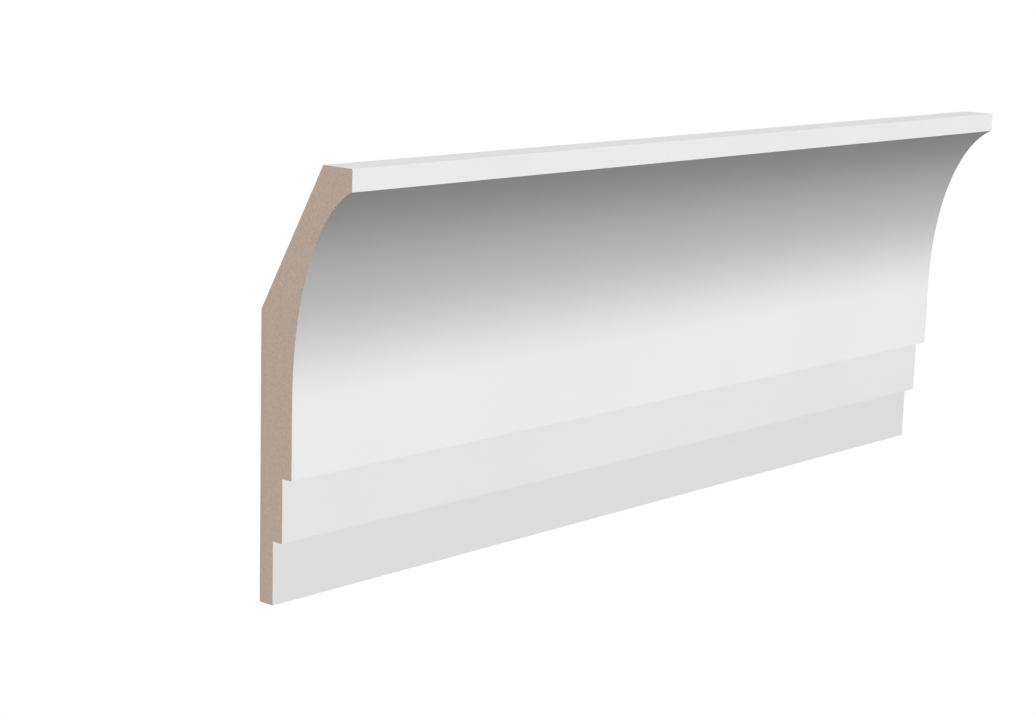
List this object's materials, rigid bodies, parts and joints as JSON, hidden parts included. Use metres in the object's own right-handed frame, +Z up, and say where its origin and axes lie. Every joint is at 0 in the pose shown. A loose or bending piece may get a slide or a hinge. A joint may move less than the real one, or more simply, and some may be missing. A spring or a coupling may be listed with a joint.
{
  "type": "crown moulding length",
  "caption": "Straight length of cove cornice moulding with a stepped foot, a small square lip and a bevelled back, primed white on bare board.",
  "frame": {"origin": "middle of the flat back that lies on the wall, halfway along the length", "axes": "+X along the length, +Y into the wall, +Z up to the ceiling, so the moulded faces look to -Y"},
  "size_m": [0.346, 0.038, 0.135],
  "materials": {
    "primed_board": "matte white primer on the moulded faces, bare brown fibreboard on the cut ends and the back"
  },
  "bodies": {
    "root": {"crown_moulding": "primed_board"}
  },
  "joints": []
}
